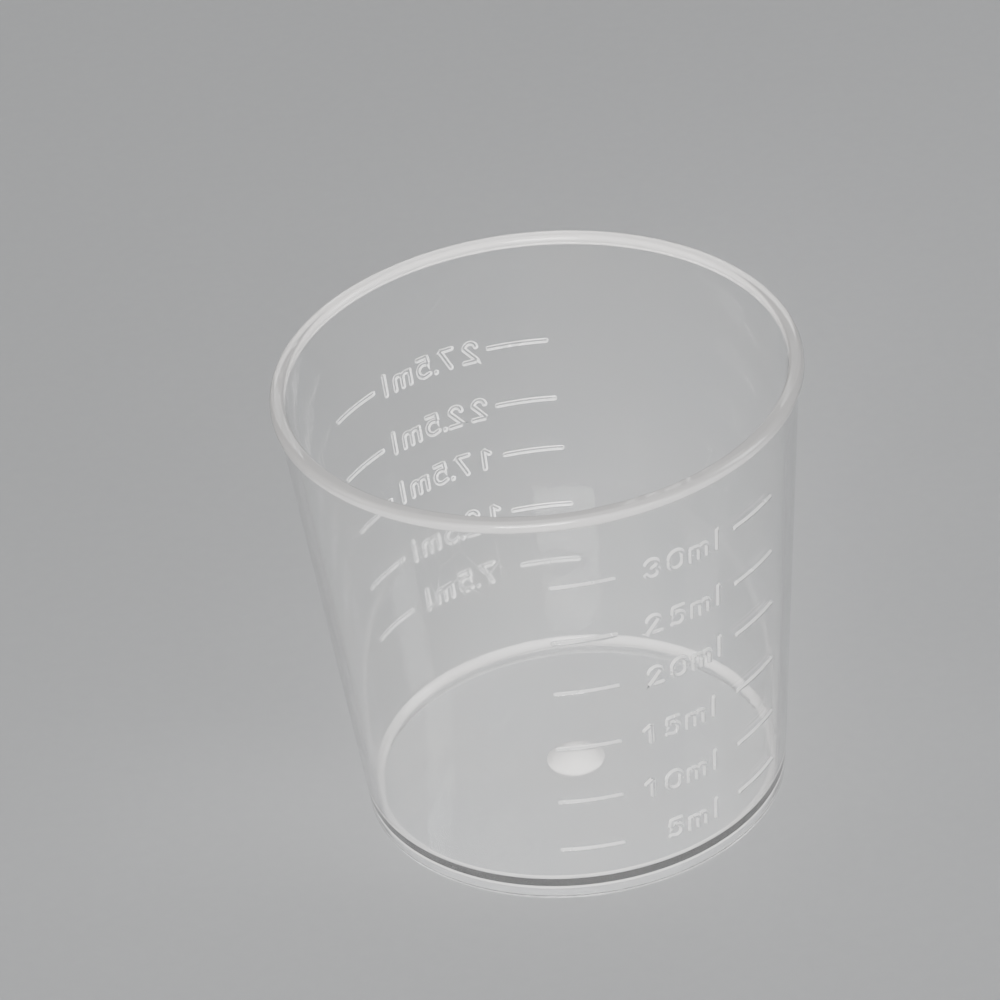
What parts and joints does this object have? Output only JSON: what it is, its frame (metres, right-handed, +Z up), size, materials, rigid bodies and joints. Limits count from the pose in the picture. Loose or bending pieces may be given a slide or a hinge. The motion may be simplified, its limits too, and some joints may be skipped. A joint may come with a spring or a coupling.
{
  "type": "graduated measuring cup",
  "caption": "Small translucent tapered measuring cup with a rounded rim, a raised floor on a foot ring and moulded graduations in millilitres.",
  "frame": {"origin": "centre of the foot ring's resting circle, on the table", "axes": "+Z up along the cup's axis, -Y towards the side that shows the whole 5 ml steps"},
  "size_m": [0.041, 0.041, 0.038],
  "materials": {
    "cup_plastic": "translucent natural polypropylene, glossy moulded surface",
    "raised_marks": "same translucent plastic, raised strokes"
  },
  "bodies": {
    "root": {"cup_wall": "cup_plastic", "rim_bead": "cup_plastic", "floor_plate": "cup_plastic", "foot_ring": "cup_plastic", "gate_dome": "cup_plastic", "ticks_5ml": "raised_marks", "label_5ml": "raised_marks", "ticks_10ml": "raised_marks", "label_10ml": "raised_marks", "ticks_15ml": "raised_marks", "label_15ml": "raised_marks", "ticks_20ml": "raised_marks", "label_20ml": "raised_marks", "ticks_25ml": "raised_marks", "label_25ml": "raised_marks", "ticks_30ml": "raised_marks", "label_30ml": "raised_marks", "ticks_7_5ml": "raised_marks", "label_7_5ml": "raised_marks", "ticks_12_5ml": "raised_marks", "label_12_5ml": "raised_marks", "ticks_17_5ml": "raised_marks", "label_17_5ml": "raised_marks", "ticks_22_5ml": "raised_marks", "label_22_5ml": "raised_marks", "ticks_27_5ml": "raised_marks", "label_27_5ml": "raised_marks"}
  },
  "joints": []
}
